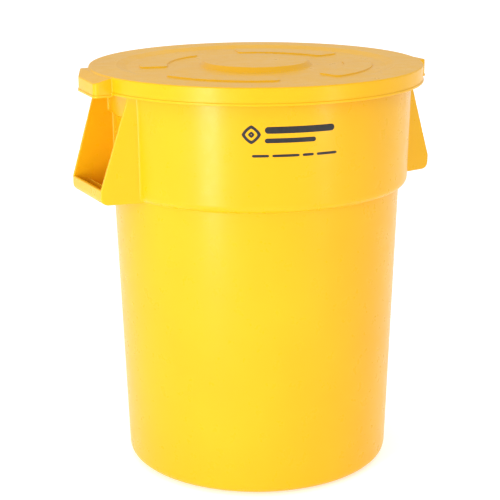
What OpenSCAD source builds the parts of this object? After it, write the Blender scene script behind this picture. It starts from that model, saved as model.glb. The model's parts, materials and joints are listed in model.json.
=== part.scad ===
/* [Overall] */
// Height of the lid's flat rim above the floor
rim_top = 849; // [845:1:870]
// Outer radius of the lid's skirt
skirt_r = 345; // [344:0.5:350]

/* [Container] */
// Thickness of the moulded wall
wall = 4; // [3:0.5:4]
// Outer radius of the lower wall just above the base corner
base_r = 281; // [276:0.5:290]
// Outer radius of the lower wall just under the step
step_r = 300; // [298:0.5:303]
// Height of the step under the collar
step_z = 602; // [590:1:605]
// Outer radius of the collar just above its rounded bottom corner
collar_low_r = 317; // [316:0.5:319]
// Outer radius of the collar where the mouth starts
collar_high_r = 321; // [320:0.5:321.5]
// Height at which the collar ends and the mouth starts
collar_z = 808; // [804:1:812]
// Radius of the collar's rounded bottom corner
collar_corner = 14; // [6:1:15]
// Outer radius of the mouth's turned-down lip
lip_r = 339; // [335:0.5:340]
// Depth of the turned-down lip
lip_drop = 24; // [15:1:28]
// Outer radius of the foot ring
foot_r = 256; // [250:1:262]
// Width of the foot ring
foot_w = 14; // [10:1:20]
// Height of the foot ring
foot_h = 5; // [3:0.5:8]
// Radius of the rounded base corner
corner_r = 17; // [10:1:19]
// Radius of the raised middle of the base
crown_r = 110; // [60:5:200]
// Rise of the raised middle of the base
crown_h = 3; // [1:0.5:4]

/* [Handles] */
// Distance from the axis to the outer face of a grip
handle_reach = 379; // [375:0.5:383]
// Half the width of a handle at its grip
handle_half = 82; // [65:0.5:85]
// Angle by which the sides of a handle splay towards the collar
handle_splay = 2; // [0:0.5:20]
// Thickness of the side plates of a handle
side_t = 5; // [4:0.5:8]
// Height of the top of a grip
grip_z = 632; // [628:1:640]
// Depth of the thickened edge along the top of a grip
grip_edge = 7; // [5:1:10]
// Radius of a handle's outer bottom edge
grip_corner = 14; // [6:1:18]
// Distance from the axis to a side plate's outer edge at the top of the collar
side_high_r = 322; // [322:0.5:326]
// Height of the shoulder in a hand pocket, with the wall set back below it
shoulder_z = 758; // [740:1:775]
// Outer radius of the wall behind a hand pocket, below its shoulder
back_low_r = 296; // [295:0.5:298]
// Outer radius of the wall behind a hand pocket, above its shoulder
back_high_r = 305; // [303:0.5:308]
// Distance from the axis to the inner rib of a grip
rib_r = 345; // [335:1:355]
// Height of that rib above the pocket's floor
rib_h = 18; // [6:1:20]

/* [Lid] */
// Thickness of the lid's moulded wall
lid_t = 3.5; // [3:0.5:4]
// Radius at which the flat rim starts to fall to the panel
rim_in_r = 288; // [284:1:300]
// Radius of the rim's rounded outer edge
rim_edge = 3; // [1:0.5:3]
// Radius of the recessed panel
panel_r = 268; // [262:1:278]
// Depth of the recessed panel under the rim
panel_drop = 5.5; // [3:0.5:8]
// Radius of the centre disc where it leaves the panel
disc_low_r = 116.5; // [112:0.5:122]
// Radius of the centre disc's flat top
disc_high_r = 106.5; // [95:0.5:108]
// Height of the centre disc above the panel
disc_h = 9.5; // [8:0.5:14]
// Inner radius of the raised pads
pad_in_r = 182; // [170:1:190]
// Outer radius of the raised pads
pad_out_r = 241; // [230:1:250]
// Angle that one pad covers
pad_angle = 60; // [40:1:70]
// Height of a pad above the panel
pad_h = 3; // [2:0.5:4]
// Radius of the corners of a pad
pad_corner = 12; // [6:1:16]
// Height of the skirt with its bead
skirt_h = 35; // [32:1:37]
// Height of the bead along the skirt's lower edge
bead_h = 5; // [4:0.5:6]
// How far the bead stands out from the skirt
bead_out = 1.5; // [1:0.5:2]

/* [Lid tabs] */
// Distance from the axis to a tab's outer face at its square end
tab_reach = 379; // [374:1:384]
// Offset of a tab's square end from the handle axis
tab_square = 60; // [50:1:80]
// Distance from the axis to a tab's outer face where it starts to taper
tab_bend_r = 372; // [368:1:376]
// Offset of the point where a tab's outer face starts to taper
tab_bend = 46; // [30:1:60]
// Distance of a tab's tapered end from the axis, along the handle axis
tab_taper_r = 344; // [340:1:350]
// Offset of a tab's tapered end
tab_taper = 112; // [95:1:120]
// How far a tab's top lies under the rim where it leaves the skirt
tab_root_drop = 3; // [3:0.5:4]
// How far a tab's top lies under the rim at its outer face
tab_drop = 11; // [8:0.5:13]
// How far a tab hangs below the skirt
tab_hang = 4; // [0:0.5:6]
// Radius of a tab's square corner
tab_corner = 10; // [5:1:14]

/* [Hidden] */
$fn = 96;
// Space left between the lid and the mouth
gap = 0.3;
// Distances well inside and well outside every handle and tab
near = 250;
far = 450;
mouth_z = rim_top - lid_t - gap;
mouth_in_r = collar_high_r - wall;
inner_r = step_r - wall;
back_in_r = back_low_r - wall;
collar_base_z = step_z + collar_corner;
side_w = side_t / cos(handle_splay);
rib_t = 3;
panel_z = rim_top - panel_drop;
skirt_z = rim_top - skirt_h;
skirt_in_r = skirt_r - lid_t;
tab_low_z = skirt_z - tab_hang;
tab_root_z = rim_top - tab_root_drop;
tab_fall = atan((tab_drop - tab_root_drop) / (tab_reach - skirt_r));
corner_z = foot_h + corner_r;

// Half the outer width of a handle at a distance from the axis
function half_width(r) = handle_half + tan(handle_splay) * (handle_reach - r);

// Points along an arc about (x, y) in the drawing plane
function arc(x, y, r, from, to, steps = 8) =
    [for (i = [0:steps]) let (a = from + (to - from) * i / steps) [x + r * cos(a), y + r * sin(a)]];

// ---- Container: base, walls and mouth ----

module base_panel() {
    rise = crown_r + 4 * crown_h;
    color("#d9a916")
    rotate_extrude()
    polygon([
        [0, foot_h + crown_h], [crown_r, foot_h + crown_h], [rise, foot_h], [base_r - corner_r, foot_h],
        [base_r - corner_r, foot_h + wall], [rise, foot_h + wall],
        [crown_r, foot_h + wall + crown_h], [0, foot_h + wall + crown_h]
    ]);
}

module foot_ring() {
    color("#d9a916")
    rotate_extrude()
    translate([foot_r - foot_w, 0])
    square([foot_w, foot_h]);
}

// Rounded corner between the base and the lower wall
module base_corner() {
    x = base_r - corner_r;
    color("#d9a916")
    rotate_extrude()
    polygon(concat(arc(x, corner_z, corner_r, -90, 0), arc(x, corner_z, corner_r - wall, 0, -90)));
}

// One quarter of the plain tapered wall, centred on the direction given
module lower_wall(turn) {
    color("#ffd21f")
    rotate(turn - 45)
    rotate_extrude(angle = 90)
    polygon([[base_r, corner_z], [step_r, step_z], [inner_r, step_z], [base_r - wall, corner_z]]);
}

// What is left of half a turned ring outside the handles
module half_ring(turn, low, high) {
    color("#ffd21f")
    rotate(turn)
    difference() {
        rotate_extrude(angle = 180) children();
        for (side = [0, 180])
            rotate(side) handle_block(low - 1, high + 1);
    }
}

// Rounded bottom corner of the upper band, where it steps out from the lower wall
module collar_step(turn) {
    x = collar_low_r - collar_corner;
    half_ring(turn, step_z, collar_base_z)
    polygon(concat(
        [[inner_r, step_z]],
        arc(x, collar_base_z, collar_corner, -90, 0),
        arc(x, collar_base_z, collar_corner - wall, 0, -90),
        [[inner_r, step_z + wall]]
    ));
}

// One half of the upper band, which is wider than the lower wall and stops at the hand pockets
module collar(turn) {
    half_ring(turn, collar_base_z, collar_z)
    polygon([
        [collar_low_r, collar_base_z], [collar_high_r, collar_z], [mouth_in_r, collar_z],
        [collar_low_r - wall, collar_base_z]
    ]);
}

// Upright ring between the upper band and the flange
module mouth_neck() {
    color("#ffd21f")
    rotate_extrude()
    translate([mouth_in_r, collar_z])
    square([wall, mouth_z - wall - collar_z]);
}

module mouth_flange() {
    color("#ffd21f")
    rotate_extrude()
    translate([mouth_in_r, mouth_z - wall])
    square([lip_r - mouth_in_r, wall]);
}

// Turned-down edge of the flange
module mouth_lip() {
    color("#ffd21f")
    rotate_extrude()
    translate([lip_r - wall, mouth_z - lip_drop])
    square([wall, lip_drop - wall]);
}

// ---- Handles, each drawn on the +X side and turned into place ----

// Everything between the two sides of a handle: with inset 0, between their outer faces
module handle_block(low, high, inset = 0) {
    translate([0, 0, low])
    linear_extrude(high - low)
    polygon([
        [near, half_width(near) - inset], [near, inset - half_width(near)],
        [far, inset - half_width(far)], [far, half_width(far) - inset]
    ]);
}

// Outline of a handle seen from the side: its outer edge slopes out from the lip down to the grip
module handle_profile(in_r) {
    translate([0, far, 0])
    rotate([90, 0, 0])
    linear_extrude(2 * far)
    polygon(concat(
        [[in_r, step_z]],
        arc(handle_reach - grip_corner, step_z + grip_corner, grip_corner, -90, 0),
        [[handle_reach, grip_z], [side_high_r, collar_z], [in_r, collar_z]]
    ));
}

// Space inside the container behind a hand pocket
module space_behind() {
    rotate_extrude()
    polygon([
        [0, 0], [back_in_r, 0], [back_in_r, shoulder_z + wall],
        [back_high_r - wall, shoulder_z + wall], [back_high_r - wall, rim_top], [0, rim_top]
    ]);
}

// One side plate; edge is 1 or -1
module handle_side(turn, edge) {
    color("#ffd21f")
    rotate(turn)
    difference() {
        intersection() {
            handle_profile(near);
            linear_extrude(rim_top)
            polygon([
                [near, edge * half_width(near)], [far, edge * half_width(far)],
                [far, edge * (half_width(far) - side_w)], [near, edge * (half_width(near) - side_w)]
            ]);
        }
        space_behind();
    }
}

// Upright outer wall of the grip, thicker along its top edge
module handle_grip(turn) {
    edge_z = grip_z - 4;
    color("#ffd21f")
    rotate(turn)
    intersection() {
        handle_block(step_z, grip_z, side_w);
        handle_profile(near);
        translate([0, far, 0])
        rotate([90, 0, 0])
        linear_extrude(2 * far)
        polygon([
            [handle_reach - wall, step_z + wall], [far, step_z + wall], [far, grip_z],
            [handle_reach - grip_edge, grip_z], [handle_reach - grip_edge, edge_z],
            [handle_reach - wall, edge_z - 4]
        ]);
    }
}

// Floor of the pocket, with the inner rib that the fingers close behind
module handle_floor(turn) {
    color("#d9a916")
    rotate(turn)
    difference() {
        intersection() {
            union() {
                handle_block(step_z, step_z + wall, side_w);
                intersection() {
                    handle_block(step_z, step_z + wall + rib_h, side_w);
                    translate([rib_r - rib_t / 2, -far, 0])
                    cube([rib_t, 2 * far, rim_top]);
                }
            }
            handle_profile(near);
        }
        space_behind();
    }
}

// Wall behind the pocket, set back below a shoulder to leave room for the fingers
module handle_back_wall(turn) {
    color("#ffd21f")
    rotate(turn)
    intersection() {
        handle_block(step_z + wall, collar_z, side_w);
        rotate_extrude()
        polygon([
            [back_low_r, 0], [back_low_r, shoulder_z], [back_high_r, shoulder_z],
            [back_high_r, rim_top], [back_high_r - wall, rim_top],
            [back_high_r - wall, shoulder_z + wall], [back_in_r, shoulder_z + wall], [back_in_r, 0]
        ]);
    }
}

// Closes the top of the pocket behind the mouth
module handle_roof(turn) {
    color("#ffd21f")
    rotate(turn)
    intersection() {
        handle_block(collar_z, collar_z + wall);
        difference() {
            cylinder(h = rim_top, r = mouth_in_r);
            cylinder(h = rim_top, r = back_high_r - wall);
        }
    }
}

// ---- Lid ----

module lid_rim() {
    color("#f4bf2a")
    rotate_extrude()
    polygon(concat(
        [[panel_r, panel_z - lid_t], [panel_r, panel_z], [rim_in_r, rim_top]],
        arc(skirt_r - rim_edge, rim_top - rim_edge, rim_edge, 90, 0, 4),
        [[skirt_r, rim_top - lid_t], [rim_in_r, rim_top - lid_t]]
    ));
}

module lid_skirt() {
    color("#ffd21f")
    rotate_extrude()
    translate([skirt_in_r, skirt_z + bead_h])
    square([lid_t, skirt_h - bead_h - lid_t]);
}

module lid_bead() {
    color("#ffd21f")
    rotate_extrude()
    translate([skirt_in_r, skirt_z])
    square([lid_t + bead_out, bead_h]);
}

module lid_panel() {
    color("#f4bf2a")
    rotate_extrude()
    translate([disc_low_r, panel_z - lid_t])
    square([panel_r - disc_low_r, lid_t]);
}

module lid_disc() {
    top = panel_z + disc_h;
    color("#f4bf2a")
    rotate_extrude()
    polygon([
        [0, top - lid_t], [0, top], [disc_high_r, top], [disc_low_r, panel_z],
        [disc_low_r, panel_z - lid_t], [disc_low_r - lid_t, panel_z - lid_t], [disc_high_r - 2, top - lid_t]
    ]);
}

// Flat ring sector between two radii, to one angle either side of +X
module sector(low_r, high_r, half_angle) {
    intersection() {
        difference() {
            circle(high_r);
            circle(low_r);
        }
        polygon([[0, 0], [far, -far * tan(half_angle)], [far, far * tan(half_angle)]]);
    }
}

// Raised pad with round corners, one of four that stand between the handles
module lid_pad(count) {
    in_r = pad_in_r + pad_corner;
    out_r = pad_out_r - pad_corner;
    in_half = pad_angle / 2 - asin(pad_corner / in_r);
    out_half = pad_angle / 2 - asin(pad_corner / out_r);
    color("#f4bf2a")
    rotate(90 * count - 45)
    translate([0, 0, panel_z])
    linear_extrude(pad_h)
    union() {
        sector(pad_in_r, in_r, in_half);
        sector(out_r, pad_out_r, out_half);
        sector(sqrt(in_r * in_r - pad_corner * pad_corner), sqrt(out_r * out_r - pad_corner * pad_corner),
            pad_angle / 2);
        for (edge = [-1, 1]) {
            rotate(edge * in_half) translate([in_r, 0]) circle(pad_corner);
            rotate(edge * out_half) translate([out_r, 0]) circle(pad_corner);
        }
    }
}

// Corners of the +X tab seen from above, each with its radius
tab_corners = [
    [near, -tab_taper, 0], [tab_taper_r, -tab_taper, 8], [tab_bend_r, -tab_bend, 25],
    [tab_reach, tab_square, tab_corner], [near, tab_square, 0]
];

function flat(p) = [p[0], p[1]];
function unit(a, b) = (flat(b) - flat(a)) / norm(flat(b) - flat(a));
function left_of(v) = [-v[1], v[0]];

// One rounded corner of an outline that runs anticlockwise, moved in by inset
function round_corner(corners, i, inset) = let (
    n = len(corners),
    u = unit(corners[(i + n - 1) % n], corners[i]),
    v = unit(corners[i], corners[(i + 1) % n]),
    turn = acos(u * v),
    r = max(corners[i][2] - inset, 0.01),
    tip = flat(corners[i]) + inset * (left_of(u) + left_of(v)) / (1 + u * v),
    middle = tip - u * r * tan(turn / 2) + left_of(u) * r,
    from = atan2(-u[0], u[1])
) arc(middle[0], middle[1], r, from, from + turn, 6);

function tab_points(inset) = [for (i = [0:len(tab_corners) - 1]) each round_corner(tab_corners, i, inset)];

// Everything above a tab's sloping top, or above its underside
module above_tab(thickness) {
    translate([skirt_r, 0, tab_root_z - thickness])
    rotate([0, tab_fall, 0])
    translate([-far, -far, 0])
    cube(2 * far);
}

// Hollow tab, open underneath, with one square and one tapered end
module lid_tab(turn) {
    color("#ffd21f")
    rotate(turn)
    difference() {
        union() {
            difference() {
                translate([0, 0, tab_low_z])
                linear_extrude(tab_root_z - tab_low_z)
                polygon(tab_points(0));
                above_tab(0);
            }
            translate([0, 0, tab_low_z])
            linear_extrude(bead_h)
            polygon(tab_points(-bead_out));
        }
        difference() {
            translate([0, 0, tab_low_z - 1])
            linear_extrude(tab_root_z - lid_t - tab_low_z + 1)
            polygon(tab_points(lid_t));
            above_tab(lid_t / cos(tab_fall));
        }
        cylinder(h = rim_top, r = skirt_r);
        cylinder(h = skirt_z + bead_h, r = skirt_r + bead_out);
    }
}

base_panel();
foot_ring();
base_corner();
lower_wall(-90);  // lower_wall_front
lower_wall(90);  // lower_wall_rear
lower_wall(180);  // lower_wall_left
lower_wall(0);  // lower_wall_right
collar_step(180);  // collar_step_front
collar_step(0);  // collar_step_rear
collar(180);  // collar_front
collar(0);  // collar_rear
mouth_neck();
mouth_flange();
mouth_lip();
handle_side(180, 1);  // left_handle_front_side
handle_side(180, -1);  // left_handle_rear_side
handle_grip(180);  // left_handle_grip
handle_floor(180);  // left_handle_floor
handle_back_wall(180);  // left_handle_back_wall
handle_roof(180);  // left_handle_roof
handle_side(0, -1);  // right_handle_front_side
handle_side(0, 1);  // right_handle_rear_side
handle_grip(0);  // right_handle_grip
handle_floor(0);  // right_handle_floor
handle_back_wall(0);  // right_handle_back_wall
handle_roof(0);  // right_handle_roof
lid_rim();
lid_skirt();
lid_bead();
lid_panel();
lid_disc();
lid_pad(1);  // lid_pad_1
lid_pad(2);  // lid_pad_2
lid_pad(3);  // lid_pad_3
lid_pad(4);  // lid_pad_4
lid_tab(180);  // left_lid_tab
lid_tab(0);  // right_lid_tab
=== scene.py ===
"""Round yellow moulded container with two side handles and a press-on lid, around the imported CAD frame.

Each moulding is a field, negative inside, and its zero surface becomes one closed mesh.
"""

import json
import math

import bmesh
import bpy
import numpy as np
from mathutils import Matrix, Vector


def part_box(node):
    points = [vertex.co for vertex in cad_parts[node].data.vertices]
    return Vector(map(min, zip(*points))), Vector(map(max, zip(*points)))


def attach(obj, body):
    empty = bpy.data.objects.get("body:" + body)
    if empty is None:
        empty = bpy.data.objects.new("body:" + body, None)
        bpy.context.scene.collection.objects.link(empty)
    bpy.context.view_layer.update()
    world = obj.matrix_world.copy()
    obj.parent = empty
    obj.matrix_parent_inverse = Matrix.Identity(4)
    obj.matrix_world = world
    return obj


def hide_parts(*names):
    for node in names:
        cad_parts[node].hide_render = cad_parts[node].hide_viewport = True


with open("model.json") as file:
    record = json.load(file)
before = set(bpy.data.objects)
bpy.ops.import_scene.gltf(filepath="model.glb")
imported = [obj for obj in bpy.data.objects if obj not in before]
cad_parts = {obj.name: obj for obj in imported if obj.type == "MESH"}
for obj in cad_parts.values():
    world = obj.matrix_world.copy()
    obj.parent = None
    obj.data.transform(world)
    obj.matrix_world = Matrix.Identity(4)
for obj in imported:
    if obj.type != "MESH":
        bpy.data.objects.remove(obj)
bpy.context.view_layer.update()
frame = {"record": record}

MM = 0.001  # the shapes below are worked out in millimetres


def node_low(node):
    """Lowest corner of a CAD node, in millimetres."""
    return [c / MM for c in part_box(node)[0]]


def node_high(node):
    """Highest corner of a CAD node, in millimetres."""
    return [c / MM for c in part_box(node)[1]]


# ---------------------------------------------------------------- sizes of the container

WALL = 4.0
FOOT_R = node_high("foot_ring")[0]
FOOT_H = node_high("foot_ring")[2]
FOOT_W = 14.0
CROWN_R = 110.0  # the middle of the base is raised inside this radius
CROWN_H = 3.0
CROWN_EDGE = 12.0
BASE_R = node_high("base_corner")[0]
CORNER_R = node_high("base_corner")[2] - FOOT_H
STEP_Z = node_high("lower_wall_front")[2]
STEP_R = 300.0
COLLAR_LOW_R = 317.0
COLLAR_HIGH_R = 321.0
COLLAR_CORNER = 14.0
COLLAR_Z = node_low("mouth_neck")[2]
MOUTH_Z = node_high("mouth_flange")[2]
LIP_R = node_high("mouth_lip")[0]
LIP_LOW = MOUTH_Z - 24.0

# ---------------------------------------------------------------- sizes of the handles

GRIP_Z = node_high("right_handle_grip")[2]
REACH = node_high("right_handle_grip")[0]
SIDE_T = 5.0
SIDE_HIGH_R = 323.0  # where the sloping outer edge of a side plate ends, under the mouth
HALF = 82.0  # half the width between the outer edges of the side plates, at the grip
EDGE_DRAFT = 0.045
SPLAY = math.tan(math.radians(2))
ROOT_X = 303.0
ROOT_HALF = 94.5  # the same half width at the plates' roots on the collar
ROOT_DRAFT = 0.034
BACK_LOW_R = 296.0
BACK_HIGH_R = 305.0
SHOULDER_Z = 758.0  # above it the back wall of the pocket stands further out
SHOULDER_H = 6.0
RIB_R = 345.0
RIB_HALF_T = 1.5
RIB_TOP = node_high("right_handle_floor")[2]
ROLL_W = 7.0  # the grip's inner edge is rolled inwards by this much
ROLL_HALF_H = 3.4
ROLL_Z = GRIP_Z - 3.2

# ---------------------------------------------------------------- sizes of the lid

LID_T = 3.5
RIM_TOP = node_high("lid_rim")[2]
SKIRT_R = node_high("lid_skirt")[0]
SKIRT_LOW = node_low("lid_bead")[2]
BEAD_TOP = node_high("lid_bead")[2]
BEAD_R = node_high("lid_bead")[0]
PANEL_Z = node_high("lid_panel")[2]
PANEL_R = node_high("lid_panel")[0]
RIM_IN_R = PANEL_R + 20
DISC_TOP = node_high("lid_disc")[2]
DISC_LOW_R = node_high("lid_disc")[0]
DISC_HIGH_R = DISC_LOW_R - 10
PAD_TOP = node_high("lid_pad_1")[2]
PAD_MIDDLE_R = 211.5
PAD_HALF_W = 29.5
PAD_HALF_TURN = math.radians(30)
PAD_DRAFT = 0.35
TAB_LOW = node_low("right_lid_tab")[2]
TAB_ROOT_Z = node_high("right_lid_tab")[2]
TAB_BEAD = BEAD_R - SKIRT_R
TAB_REACH = node_high("right_lid_tab")[0] - TAB_BEAD
TAB_SQUARE = node_high("right_lid_tab")[1] - TAB_BEAD
TAB_TAPER = -112.0  # the tapered end of a tab, across from its square end
TAB_FALL = math.atan(8 / (TAB_REACH - SKIRT_R))

PAST_AXIS = -60.0  # profiles run past the axis, so that the middle is whole
BURIED = 250.0  # outlines of handles and tabs begin here, inside the walls

# ---------------------------------------------------------------- fields: negative inside, in millimetres


def round_union(a, b, r):
    """Where either field is negative, with the inner corner rounded to radius r."""
    return np.maximum(r, np.minimum(a, b)) - np.hypot(np.maximum(r - a, 0), np.maximum(r - b, 0))


def round_cut(a, b, r):
    """Where both fields are negative, with the edge rounded to radius r."""
    return np.minimum(-r, np.maximum(a, b)) + np.hypot(np.maximum(r + a, 0), np.maximum(r + b, 0))


def rounded(corners, steps=5):
    """Closed outline through corners (x, y, radius), each turned into an arc of that radius."""
    points = []
    for i, (x, y, r) in enumerate(corners):
        tip = np.array([x, y], float)
        before = np.array(corners[i - 1][:2], float)
        after = np.array(corners[(i + 1) % len(corners)][:2], float)
        u = (tip - before) / np.linalg.norm(tip - before)
        v = (after - tip) / np.linalg.norm(after - tip)
        turn = math.atan2(u[0] * v[1] - u[1] * v[0], u @ v)
        if r <= 0 or abs(turn) < 1e-4:
            points.append(tip)
            continue
        back = r * math.tan(abs(turn) / 2)
        side = math.copysign(1, turn)
        middle = tip - u * back + side * r * np.array([-u[1], u[0]])
        spoke = tip - u * back - middle
        for step in range(steps + 1):
            a = turn * step / steps
            c, s = math.cos(a), math.sin(a)
            points.append(middle + np.array([c * spoke[0] - s * spoke[1], s * spoke[0] + c * spoke[1]]))
    return np.array(points)


def outline_field(points, x, y):
    """Signed distance to a closed outline, negative inside."""
    best = np.full(np.broadcast(x, y).shape, 1e9)
    inside = np.zeros(best.shape, bool)
    for (ax, ay), (bx, by) in zip(points, np.roll(points, -1, 0)):
        ex, ey = bx - ax, by - ay
        wx, wy = x - ax, y - ay
        t = np.clip((wx * ex + wy * ey) / max(ex * ex + ey * ey, 1e-12), 0, 1)
        best = np.minimum(best, (wx - ex * t) ** 2 + (wy - ey * t) ** 2)
        if ay != by:
            inside ^= ((ay > y) != (by > y)) & (x < (bx - ax) * (y - ay) / (by - ay) + ax)
    best = np.sqrt(best)
    return np.where(inside, -best, best)


# ---------------------------------------------------------------- mesh of a field's zero surface


def steps_between(*pairs):
    """Grid lines from (end, spacing) pairs, beginning at the first pair's end."""
    lines = [float(pairs[0][0])]
    for end, spacing in pairs[1:]:
        count = max(1, round(abs(end - lines[-1]) / spacing))
        lines += list(np.linspace(lines[-1], end, count + 1)[1:])
    return np.array(lines)


def both_sides(quarter):
    """Angles for a full turn from those of the first quarter, so that +X and -X match."""
    half = np.concatenate([quarter, math.pi - quarter[::-1][1:]])
    return np.concatenate([half, half[1:-1] + math.pi])


def cell_points(value, filled, after, angles, across, heights, offset):
    """A point in each grid cell that the surface crosses, and the number of the point in each cell."""
    nr, nz = value.shape[1:]

    def corner(array, i, j, k):
        array = array[after] if i else array
        return array[:, j:nr - 1 + j, k:nz - 1 + k]

    corners = [(i, j, k) for i in (0, 1) for j in (0, 1) for k in (0, 1)]
    count = sum(corner(filled, *c).astype(np.int8) for c in corners)
    active = (count > 0) & (count < 8)
    numbers = np.full(active.shape, -1)
    numbers[active] = np.arange(active.sum())
    total = np.zeros((active.sum(), 3))
    hits = np.zeros(active.sum())
    for c in corners:
        for axis in range(3):
            if c[axis]:
                continue
            d = list(c)
            d[axis] = 1
            f0 = corner(value, *c)[active]
            f1 = corner(value, *d)[active]
            cross = (f0 < 0) != (f1 < 0)
            t = np.where(cross, f0 / np.where(cross, f0 - f1, 1), 0)
            place = np.tile(np.array(c, float), (len(t), 1))
            place[:, axis] += t
            total += place * cross[:, None]
            hits += cross
    total /= hits[:, None]
    ia, ir, iz = np.nonzero(active)
    wrap = np.append(angles, angles[0] + 2 * math.pi)
    a = wrap[ia] + total[:, 0] * (wrap[ia + 1] - wrap[ia])
    z = heights[iz] + total[:, 2] * (heights[iz + 1] - heights[iz])
    r = across[ir] + total[:, 1] * (across[ir + 1] - across[ir]) + offset(z)
    return np.stack([r * np.cos(a), r * np.sin(a), z], 1), numbers


def cell_quads(filled, after, numbers):
    """Around each piece of a grid line that crosses the surface, the four cells make one quad."""

    def outward(i, j, k, cells):
        quad = np.stack([numbers[cell] for cell in cells], 1)
        return np.where(filled[i, j, k][:, None], quad, quad[:, ::-1])

    change = filled != filled[after]
    i, j, k = np.nonzero(change[:, 1:-1, 1:-1])
    j, k = j + 1, k + 1
    round_lines = outward(i, j, k, [(i, j - 1, k - 1), (i, j, k - 1), (i, j, k), (i, j - 1, k)])
    change = filled[:, :-1] != filled[:, 1:]
    i, j, k = np.nonzero(change[:, :, 1:-1])
    k = k + 1
    radial_lines = outward(i, j, k, [(i - 1, j, k - 1), (i - 1, j, k), (i, j, k), (i, j, k - 1)])
    change = filled[:, :, :-1] != filled[:, :, 1:]
    i, j, k = np.nonzero(change[:, 1:-1])
    j = j + 1
    upright_lines = outward(i, j, k, [(i - 1, j - 1, k), (i, j - 1, k), (i, j, k), (i - 1, j, k)])
    return np.concatenate([round_lines, radial_lines, upright_lines])


def value_at(field, p):
    return field(np.arctan2(p[:, 1], p[:, 0]), np.hypot(p[:, 0], p[:, 1]), p[:, 2])


def slope_at(field, p):
    """Gradient of a field, from differences over a twentieth of a millimetre each way."""
    h = 0.05
    steps = [h * axis for axis in np.eye(3)]
    return np.stack([(value_at(field, p + step) - value_at(field, p - step)) / (2 * h) for step in steps], 1)


def settle(field, points):
    """Move the points onto the surface, at most 1.5 mm at a time."""
    for _ in range(4):
        slope = slope_at(field, points)
        size = np.maximum((slope * slope).sum(1), 0.25)
        move = -(value_at(field, points) / size)[:, None] * slope
        length = np.linalg.norm(move, axis=1, keepdims=True)
        points += move * np.minimum(1, 1.5 / np.maximum(length, 1e-9))


def add_piece(name, mesh):
    piece = bpy.data.objects.new(name, mesh)
    bpy.context.scene.collection.objects.link(piece)
    return piece


def surface_piece(name, field, angles, across, heights, offset):
    """Closed mesh of a field's zero surface, on a grid of angles, radii and heights.
    offset(z) shifts the radii, so that the grid follows a tapered wall."""
    a = angles[:, None, None]
    z = heights[None, None, :]
    r = across[None, :, None] + offset(z)
    value = field(a, r, z).astype(np.float32)
    value = np.broadcast_to(value, (len(angles), len(across), len(heights)))
    filled = value < 0
    after = np.roll(np.arange(len(angles)), -1)
    points, numbers = cell_points(value, filled, after, angles, across, heights, offset)
    settle(field, points)
    quads = cell_quads(filled, after, numbers)

    mesh = bpy.data.meshes.new(name)
    mesh.from_pydata((points * MM).tolist(), [], quads.tolist())
    bm = bmesh.new()
    bm.from_mesh(mesh)
    rims = [e for e in bm.edges if e.is_boundary]
    caps = bmesh.ops.holes_fill(bm, edges=rims, sides=0)["faces"]
    bmesh.ops.poke(bm, faces=caps)
    bmesh.ops.dissolve_degenerate(bm, dist=1e-6, edges=bm.edges)
    bmesh.ops.recalc_face_normals(bm, faces=bm.faces)
    bm.to_mesh(mesh)
    bm.free()
    mesh.polygons.foreach_set("use_smooth", [True] * len(mesh.polygons))
    places = np.zeros(len(mesh.vertices) * 3)
    mesh.vertices.foreach_get("co", places)
    normals = slope_at(field, places.reshape(-1, 3) / MM)
    normals /= np.maximum(np.linalg.norm(normals, axis=1, keepdims=True), 1e-9)
    mesh.normals_split_custom_set_from_vertices(normals.tolist())
    mesh.update()
    return add_piece(name, mesh)


# ---------------------------------------------------------------- container

OUTSIDE = rounded([
    (PAST_AXIS, FOOT_H + CROWN_H, 0), (CROWN_R, FOOT_H + CROWN_H, 8), (CROWN_R + CROWN_EDGE, FOOT_H, 8),
    (FOOT_R - FOOT_W, FOOT_H, 1), (FOOT_R - FOOT_W + 0.6, 0, 1.2), (FOOT_R - 0.6, 0, 1.5),
    (FOOT_R, FOOT_H, 0.8), (BASE_R - 0.3, FOOT_H, CORNER_R), (STEP_R, STEP_Z, 2.5),
    (COLLAR_LOW_R - 0.2, STEP_Z, COLLAR_CORNER), (COLLAR_HIGH_R, COLLAR_Z, 0),
    (COLLAR_HIGH_R, MOUTH_Z - WALL, 2.5), (LIP_R - WALL, MOUTH_Z - WALL, 1.5),
    (LIP_R - WALL, LIP_LOW, 1.2), (LIP_R, LIP_LOW, 1.2), (LIP_R, MOUTH_Z, 4), (PAST_AXIS, MOUTH_Z, 0),
])
INSIDE = rounded([
    (PAST_AXIS, FOOT_H + WALL + CROWN_H, 0), (CROWN_R, FOOT_H + WALL + CROWN_H, 8),
    (CROWN_R + CROWN_EDGE, FOOT_H + WALL, 8), (BASE_R - WALL - 0.3, FOOT_H + WALL, CORNER_R - WALL),
    (STEP_R - WALL, STEP_Z + WALL, 3), (COLLAR_LOW_R - WALL, STEP_Z + WALL, COLLAR_CORNER - WALL),
    (COLLAR_HIGH_R - WALL, COLLAR_Z, 0), (COLLAR_HIGH_R - WALL, MOUTH_Z - 2, 0),
    (COLLAR_HIGH_R + 10, MOUTH_Z + 12, 0), (PAST_AXIS, MOUTH_Z + 12, 0),
])
HANDLE_SIDE = rounded([
    (BURIED, STEP_Z, 0), (REACH, STEP_Z, 14), (REACH, GRIP_Z, 20), (SIDE_HIGH_R, COLLAR_Z, 30),
    (SIDE_HIGH_R, LIP_LOW, 0), (BURIED, LIP_LOW, 0),
])


def edge_half(z):
    """Half the width between the outer edges of the side plates, at a height."""
    return HALF + EDGE_DRAFT * (z - GRIP_Z)


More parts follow.
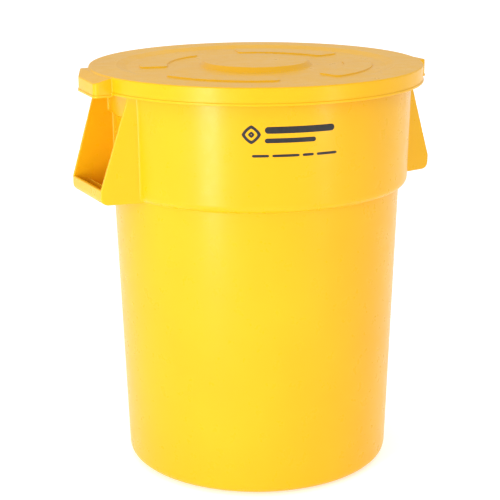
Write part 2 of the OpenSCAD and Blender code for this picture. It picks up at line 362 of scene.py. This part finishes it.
def handle_block(x, y, z):
    """A handle without its pocket. Each side plate is ruled from its sloping outer edge to a wider root."""
    edge_x = np.clip(REACH - (z - GRIP_Z) * (REACH - SIDE_HIGH_R) / (COLLAR_Z - GRIP_Z), SIDE_HIGH_R, REACH)
    root_half = ROOT_HALF + ROOT_DRAFT * (z - STEP_Z)
    lean = (root_half - edge_half(z)) / (edge_x - ROOT_X)
    half_out = edge_half(z) + lean * np.clip(edge_x - x, 0, 1.3 * (edge_x - ROOT_X))
    upright = 1 / np.sqrt(1 + lean ** 2)
    return round_cut(outline_field(HANDLE_SIDE, x, z), (y - half_out) * upright, 1.8)


def hand_pocket(x, y, r, z):
    """The hollow of a handle: over the grip, and down into a trough with a rib and a rolled edge."""
    rib = round_cut(np.abs(x - RIB_R) - RIB_HALF_T, z - RIB_TOP, 1.4)
    roll = round_cut(REACH - ROLL_W - x, np.abs(z - ROLL_Z) - ROLL_HALF_H, 2.0)
    trough = round_cut(x - (REACH - WALL), STEP_Z + WALL - z, 5.0)
    trough = round_cut(trough, -rib, 1.5)
    trough = round_cut(trough, -roll, 1.5)
    above_shoulder = np.clip((z - SHOULDER_Z) / SHOULDER_H + 0.5, 0, 1)
    back = BACK_LOW_R + (BACK_HIGH_R - BACK_LOW_R) * above_shoulder
    half_in = edge_half(z) - SIDE_T + SPLAY * (REACH - x)
    pocket = round_cut(y - half_in, back - r, 6.0)
    pocket = round_cut(pocket, z - COLLAR_Z, 4.0)
    return round_cut(pocket, np.minimum(GRIP_Z - z, trough), 1.8)


def container_field(a, r, z):
    x = np.abs(r * np.cos(a))
    y = np.abs(r * np.sin(a))
    pocket = hand_pocket(x, y, r, z)
    solid = round_union(outline_field(OUTSIDE, r, z), handle_block(x, y, z), 2.5)
    body = round_cut(solid, -pocket, 1.6)
    hollow = round_cut(outline_field(INSIDE, r, z), WALL - pocket, 3.0)
    return round_cut(body, -hollow, 1.2)


def wall_taper(z):
    """Radius of the lower wall at a height, carried on into the collar."""
    low = BASE_R + (STEP_R - BASE_R) * np.clip((z - FOOT_H - CORNER_R) / (STEP_Z - FOOT_H - CORNER_R), 0, 1)
    return low + (COLLAR_HIGH_R - COLLAR_LOW_R) * np.clip((z - STEP_Z) / (COLLAR_Z - STEP_Z), 0, 1)


# The grid is finer at the handles' plates, at the wall, and at the foot, step, shoulder and mouth.
DEG = math.pi / 180
container_quarter = steps_between(
    (0, 1), (10.5 * DEG, 0.9 * DEG), (20.5 * DEG, 0.4 * DEG), (90 * DEG, 2.9 * DEG))
container_across = steps_between(
    (-270, 1), (-175, 20), (-160, 2.5), (-45, 16), (-9, 3), (-5, 2), (11, 2), (12, 1), (22, 2),
    (40, 1.8), (48, 1.5), (68, 2.2), (92, 1.4))
container_heights = steps_between(
    (-2, 1), (26, 1.5), (596, 38), (636, 1.7), (SHOULDER_Z - 10, 5.5), (SHOULDER_Z + 10, 1.7),
    (800, 5), (849, 1.6))
container = surface_piece(
    "container_shell", container_field, both_sides(container_quarter), container_across,
    container_heights, wall_taper)

# ---------------------------------------------------------------- lid

LID_PROFILE = rounded([
    (PAST_AXIS, DISC_TOP, 0), (PAST_AXIS, DISC_TOP - LID_T, 0), (DISC_HIGH_R - 2, DISC_TOP - LID_T, 2),
    (DISC_LOW_R - LID_T, PANEL_Z - LID_T, 3), (PANEL_R, PANEL_Z - LID_T, 12),
    (RIM_IN_R, RIM_TOP - LID_T, 12), (SKIRT_R - LID_T, RIM_TOP - LID_T, 1.5),
    (SKIRT_R - LID_T, SKIRT_LOW, 0.8), (BEAD_R, SKIRT_LOW, 1.6), (BEAD_R, BEAD_TOP, 1.2),
    (SKIRT_R - 0.2, BEAD_TOP, 0.8), (SKIRT_R, RIM_TOP, 3), (RIM_IN_R, RIM_TOP, 12), (PANEL_R, PANEL_Z, 12),
    (DISC_LOW_R, PANEL_Z, 2.5), (DISC_HIGH_R, DISC_TOP, 2.5),
])
TAB_OUTLINE = rounded([
    (BURIED, TAB_TAPER, 0), (344, TAB_TAPER, 8), (372, -46, 25), (TAB_REACH, TAB_SQUARE, 9),
    (BURIED, TAB_SQUARE - 9, 0),
])


def lid_pads(a, r, z):
    """Four low pads on the panel, each a ring sector with rounded corners."""
    quarter = np.mod(a, math.pi / 2) - math.pi / 4
    x = r * np.cos(quarter)
    y = np.abs(r * np.sin(quarter))
    ends = y * math.cos(PAD_HALF_TURN) - x * math.sin(PAD_HALF_TURN)
    sector = round_cut(np.abs(r - PAD_MIDDLE_R) - PAD_HALF_W, ends, 12.0)
    pad = round_cut(sector + np.maximum(z - PANEL_Z, 0) * PAD_DRAFT, z - PAD_TOP, 1.2)
    return np.maximum(pad, PANEL_Z - 2 - z)


def lid_tabs(a, r, z):
    """A hollow tab on each side with a bead along its lower edge, the left one turned by half a turn."""
    side = np.where(np.cos(a) < 0, -1.0, 1.0)
    x = side * r * np.cos(a)
    y = side * r * np.sin(a)
    plan = outline_field(TAB_OUTLINE, x, y)
    fall_out, fall_up = math.sin(TAB_FALL), math.cos(TAB_FALL)
    top = np.maximum((z - TAB_ROOT_Z) * fall_up + (x - SKIRT_R) * fall_out, z - TAB_ROOT_Z)
    block = round_cut(round_cut(plan, top, 2.0), TAB_LOW - z, 1.0)
    bead = round_cut(round_cut(plan - TAB_BEAD, z - TAB_LOW - 5, 1.0), TAB_LOW - z, 1.5)
    block = round_union(block, bead, 0.6)
    hole = round_cut(round_cut(plan + LID_T, top + LID_T, 2.0), SKIRT_R - 1.5 - r, 2.0)
    tab = round_cut(block, -hole, 0.8)
    return np.maximum(tab, SKIRT_R - 2.2 - r)


def lid_field(a, r, z):
    shell = round_union(outline_field(LID_PROFILE, r, z), lid_pads(a, r, z), 1.2)
    return round_union(shell, lid_tabs(a, r, z), 2.0)


def no_taper(z):
    return 0 * z


# The grid is finer at the tabs, at the edges of the disc and the pads, and at the skirt.
lid_quarter = steps_between(
    (0, 1), (7, 1.5), (11.5, 0.4), (12, 0.4), (21.5, 0.4), (45, 3), (68.5, 3), (78, 0.5), (90, 2)) * DEG
lid_across = steps_between(
    (8, 1), (96, 11), (102, 3), (120, 1), (178, 9), (187, 1.1), (236, 7), (243, 1.1), (262, 5), (296, 3.4),
    (335, 6.5), (350, 0.9), (366, 1.9), (388, 1.1))
lid_heights = steps_between((TAB_LOW - 2, 1), (822, 0.9), (834, 1.6), (856, 0.8))
lid = surface_piece("lid_shell", lid_field, both_sides(lid_quarter), lid_across, lid_heights, no_taper)

# ---------------------------------------------------------------- print on the collar

INK_PROUD = 0.12
INK_UNDER = -0.15
MARK_MIDDLE = (-157, 757)
MARK_POWER = 1.3  # 1 gives straight sides and 2 gives a circle
BARS_START = -132
DASHES_Z = 716


def on_collar(along, z, proud):
    """A point on the collar's front, at an arc length from the middle of the front and a height."""
    radius = COLLAR_LOW_R + (COLLAR_HIGH_R - COLLAR_LOW_R) * (z - STEP_Z) / (COLLAR_Z - STEP_Z) + proud
    turn = along / COLLAR_LOW_R - math.pi / 2
    return radius * math.cos(turn) * MM, radius * math.sin(turn) * MM, z * MM


def print_strip(bm, pairs, closed):
    """Thin closed plate on the collar, between two outlines given as pairs of points (along, z)."""
    rings = []
    for first, second in pairs:
        corners = [(first, INK_PROUD), (second, INK_PROUD), (second, INK_UNDER), (first, INK_UNDER)]
        rings.append([bm.verts.new(on_collar(p[0], p[1], proud)) for p, proud in corners])
    last = len(rings) if closed else len(rings) - 1
    for i in range(last):
        here, there = rings[i], rings[(i + 1) % len(rings)]
        for j in range(4):
            k = (j + 1) % 4
            bm.faces.new((here[j], here[k], there[k], there[j]))
    if not closed:
        bm.faces.new(rings[0])
        bm.faces.new(rings[-1][::-1])


def bar(bm, start, end, z, height, steps=24):
    """A bar with rounded ends."""
    r = height / 2
    pairs = []
    for i in range(steps + 1):
        t = 0.5 - 0.5 * math.cos(math.pi * i / steps)
        along = start + (end - start) * t
        inset = max(0, r - min(along - start, end - along))
        half = max(0.3, math.sqrt(max(0, r * r - inset * inset)))
        pairs.append(((along, z - half), (along, z + half)))
    print_strip(bm, pairs, False)


def soft_diamond(bm, along, z, outer, inner, steps=64):
    """The outline of a square on its corner with bulging sides, between two sizes."""
    pairs = []
    for i in range(steps):
        a = 2 * math.pi * i / steps
        c, s = math.cos(a), math.sin(a)
        reach = (abs(c) ** MARK_POWER + abs(s) ** MARK_POWER) ** (-1 / MARK_POWER)
        pairs.append(tuple((along + size * reach * c, z + size * reach * s) for size in (outer, inner)))
    print_strip(bm, pairs, True)


def collar_print():
    bm = bmesh.new()
    for outer, inner in ((18, 11.5), (6, 1)):
        soft_diamond(bm, *MARK_MIDDLE, outer, inner)
    for end, z, height in ((4, 765, 13), (-34, 745, 9)):
        bar(bm, BARS_START, end, z, height)
    for start, end in ((-156, -124), (-118, -66), (-60, -38), (-32, 10)):
        bar(bm, start, end, DASHES_Z, 5, 12)
    bmesh.ops.recalc_face_normals(bm, faces=bm.faces)
    mesh = bpy.data.meshes.new("collar_print")
    bm.to_mesh(mesh)
    bm.free()
    return add_piece("collar_print", mesh)


ink = collar_print()

# ---------------------------------------------------------------- materials

CLEAR_YELLOW = (0.83, 0.440, 0.006)
DEEP_YELLOW = (0.80, 0.412, 0.004)
WARM_YELLOW = (0.82, 0.402, 0.004)
# paler yellow painted on convex edges as a highlight, standing in for light caught by the rounded edges
PAINTED_EDGE_HIGHLIGHT = (0.86, 0.530, 0.060)
INK_DARK = (0.003, 0.003, 0.004)
INK_THIN = (0.012, 0.011, 0.010)


class Net:
    """Short way of adding nodes to a material."""

    def __init__(self, name):
        self.material = bpy.data.materials.new(name)
        self.material.use_nodes = True
        self.nodes = self.material.node_tree.nodes
        self.links = self.material.node_tree.links
        self.shader = self.nodes["Principled BSDF"]
        self.place = self.nodes.new("ShaderNodeTexCoord").outputs["Object"]

    def link(self, source, target):
        self.links.new(source, target)

    def noise(self, scale, detail=2.0, rough=0.5, stretch=None):
        node = self.nodes.new("ShaderNodeTexNoise")
        node.inputs["Scale"].default_value = scale
        node.inputs["Detail"].default_value = detail
        node.inputs["Roughness"].default_value = rough
        place = self.place
        if stretch:
            mapping = self.nodes.new("ShaderNodeMapping")
            mapping.inputs["Scale"].default_value = stretch
            self.link(place, mapping.inputs["Vector"])
            place = mapping.outputs["Vector"]
        self.link(place, node.inputs["Vector"])
        return node.outputs["Fac"]

    def spread(self, value, low, high, to_low, to_high):
        node = self.nodes.new("ShaderNodeMapRange")
        for name, number in (("From Min", low), ("From Max", high), ("To Min", to_low), ("To Max", to_high)):
            node.inputs[name].default_value = number
        self.link(value, node.inputs["Value"])
        return node.outputs["Result"]

    def blend(self, amount, first, second):
        node = self.nodes.new("ShaderNodeMix")
        node.data_type = "RGBA"
        for socket, colour in ((node.inputs[6], first), (node.inputs[7], second)):
            if isinstance(colour, tuple):
                socket.default_value = (*colour, 1)
            else:
                self.link(colour, socket)
        self.link(amount, node.inputs["Factor"])
        return node.outputs[2]

    def bump(self, height, strength, distance, under=None):
        node = self.nodes.new("ShaderNodeBump")
        node.inputs["Strength"].default_value = strength
        node.inputs["Distance"].default_value = distance
        self.link(height, node.inputs["Height"])
        if under:
            self.link(under, node.inputs["Normal"])
        return node.outputs["Normal"]


def moulded_yellow(name, roughness, grain, shine):
    """Satin moulded plastic: cloudy pigment, flow marks, a painted highlight along convex edges, a few
    specks and a fine grain.
    """
    net = Net(name)
    shader = net.shader
    clouds = net.noise(5.0, 3.0)
    tone = net.blend(net.spread(clouds, 0.3, 0.7, 0, 1), DEEP_YELLOW, CLEAR_YELLOW)
    flow = net.noise(9.0, 2.0, 0.6, (1, 1, 0.25))
    tone = net.blend(net.spread(flow, 0.45, 0.75, 0, 0.25), tone, WARM_YELLOW)
    # convex edges are painted paler: a painted highlight in place of the light that rounded edges catch
    edges = net.nodes.new("ShaderNodeNewGeometry").outputs["Pointiness"]
    tone = net.blend(net.spread(edges, 0.52, 0.60, 0, 0.35), tone, PAINTED_EDGE_HIGHLIGHT)
    specks = net.noise(260.0, 1.0)
    tone = net.blend(net.spread(specks, 0.70, 0.80, 0, 0.1), tone, DEEP_YELLOW)
    net.link(tone, shader.inputs["Base Color"])
    scuffs = net.noise(34.0, 4.0, 0.65)
    net.link(net.spread(scuffs, 0.3, 0.7, roughness - 0.05, roughness + 0.06), shader.inputs["Roughness"])
    swell = net.bump(net.noise(14.0, 1.0), 0.12, 0.0006)
    net.link(net.bump(net.noise(900.0, 2.0), grain, 0.00025, swell), shader.inputs["Normal"])
    shader.inputs["Specular IOR Level"].default_value = shine
    shader.inputs["IOR"].default_value = 1.5
    return net.material


def printed_ink():
    """Black ink of slightly uneven thickness and sheen."""
    net = Net("printed_ink")
    shader = net.shader
    cover = net.noise(160.0, 3.0)
    net.link(net.blend(net.spread(cover, 0.35, 0.75, 0, 1), INK_DARK, INK_THIN), shader.inputs["Base Color"])
    net.link(net.spread(net.noise(60.0), 0.3, 0.7, 0.42, 0.6), shader.inputs["Roughness"])
    net.link(net.bump(net.noise(900.0), 0.1, 0.0002), shader.inputs["Normal"])
    return net.material


container.data.materials.append(moulded_yellow("container_yellow", 0.30, 0.10, 0.24))
lid.data.materials.append(moulded_yellow("lid_yellow", 0.32, 0.20, 0.22))
ink.data.materials.append(printed_ink())

# ---------------------------------------------------------------- riding on the frame

bodies = frame["record"]["behaviour"]["bodies"]
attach(container, "container")
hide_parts(*bodies["container"])
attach(lid, "lid")
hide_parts(*bodies["lid"])
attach(ink, "container")

# ---------------------------------------------------------------- floor, light and camera, in metres

VIEW_TURN = math.radians(26.8)  # the handles' axis is turned this far from the picture plane
CAMERA_AWAY = 2.8417
CAMERA_HIGH = 1.2356
CAMERA_PITCH = math.radians(15.5464)
CAMERA_YAW = math.radians(0.2785)
CAMERA_ROLL = math.radians(-0.2922)
SENSOR_MM = 36
LENS_MM = 98.788
FLOOR_HALF = 30
LIGHT_AWAY = 2.4
LIGHT_TARGET = Vector((0, 0, 0.6))


def pale_floor():
    corners = [(-FLOOR_HALF, -FLOOR_HALF), (FLOOR_HALF, -FLOOR_HALF), (FLOOR_HALF, FLOOR_HALF),
               (-FLOOR_HALF, FLOOR_HALF)]
    mesh = bpy.data.meshes.new("studio_floor")
    mesh.from_pydata([(x, y, 0) for x, y in corners], [], [(0, 1, 2, 3)])
    white = bpy.data.materials.new("studio_white")
    white.use_nodes = True
    paper = white.node_tree.nodes["Principled BSDF"]
    paper.inputs["Base Color"].default_value = (0.8, 0.8, 0.8, 1)
    paper.inputs["Roughness"].default_value = 0.9
    paper.inputs["Emission Color"].default_value = (1, 1, 1, 1)
    paper.inputs["Emission Strength"].default_value = 0.46
    mesh.materials.append(white)
    return add_piece("studio_floor", mesh)


def soft_sky():
    """White sky that grows brighter with height."""
    world = bpy.data.worlds.new("studio")
    bpy.context.scene.world = world
    world.use_nodes = True
    nodes = world.node_tree.nodes
    links = world.node_tree.links
    direction = nodes.new("ShaderNodeSeparateXYZ")
    links.new(nodes.new("ShaderNodeTexCoord").outputs["Generated"], direction.inputs["Vector"])
    glow = nodes.new("ShaderNodeMapRange")
    glow.interpolation_type = "SMOOTHSTEP"
    for socket, number in (("From Min", 0.05), ("From Max", 0.8), ("To Min", 0.62), ("To Max", 1.12)):
        glow.inputs[socket].default_value = number
    links.new(direction.outputs["Z"], glow.inputs["Value"])
    links.new(glow.outputs["Result"], nodes["Background"].inputs["Strength"])
    nodes["Background"].inputs["Color"].default_value = (1, 1, 1, 1)


def seen_from_camera(side, away, high):
    """A point given to the right of the line of sight, towards the camera, and above the floor."""
    c, s = math.cos(VIEW_TURN), math.sin(VIEW_TURN)
    return Vector((side * c - away * s, -side * s - away * c, high))


def softbox(name, turn_deg, high, width, height, power):
    """Upright area light, turned to the right of the camera by an angle around the container."""
    turn = math.radians(turn_deg)
    light = bpy.data.lights.new(name, "AREA")
    light.shape = "RECTANGLE"
    light.size = width
    light.size_y = height
    light.energy = power
    lamp = add_piece(name, light)
    lamp.location = seen_from_camera(LIGHT_AWAY * math.sin(turn), LIGHT_AWAY * math.cos(turn), high)
    lamp.rotation_mode = "QUATERNION"
    lamp.rotation_quaternion = (LIGHT_TARGET - lamp.location).to_track_quat("-Z", "Y")


def add_camera():
    data = bpy.data.cameras.new("camera")
    camera = add_piece("camera", data)
    bpy.context.scene.camera = camera
    data.sensor_width = SENSOR_MM
    data.lens = LENS_MM
    data.clip_end = 100
    toward = math.pi / 2 - VIEW_TURN + CAMERA_YAW
    level = math.cos(CAMERA_PITCH)
    ahead = Vector((math.cos(toward) * level, math.sin(toward) * level, -math.sin(CAMERA_PITCH)))
    right = ahead.cross(Vector((0, 0, 1))).normalized()
    up = right.cross(ahead)
    c, s = math.cos(CAMERA_ROLL), math.sin(CAMERA_ROLL)
    right, up = right * c + up * s, up * c - right * s
    turn = Matrix((right, up, -ahead)).transposed()
    camera.matrix_world = Matrix.Translation(seen_from_camera(0, CAMERA_AWAY, CAMERA_HIGH)) @ turn.to_4x4()


floor = pale_floor()
soft_sky()
softbox("key", -31, 0.72, 0.26, 1.4, 30)
softbox("side_right", 47.5, 0.45, 0.22, 0.5, 4)
add_camera()

bpy.context.scene.view_settings.view_transform = "Standard"
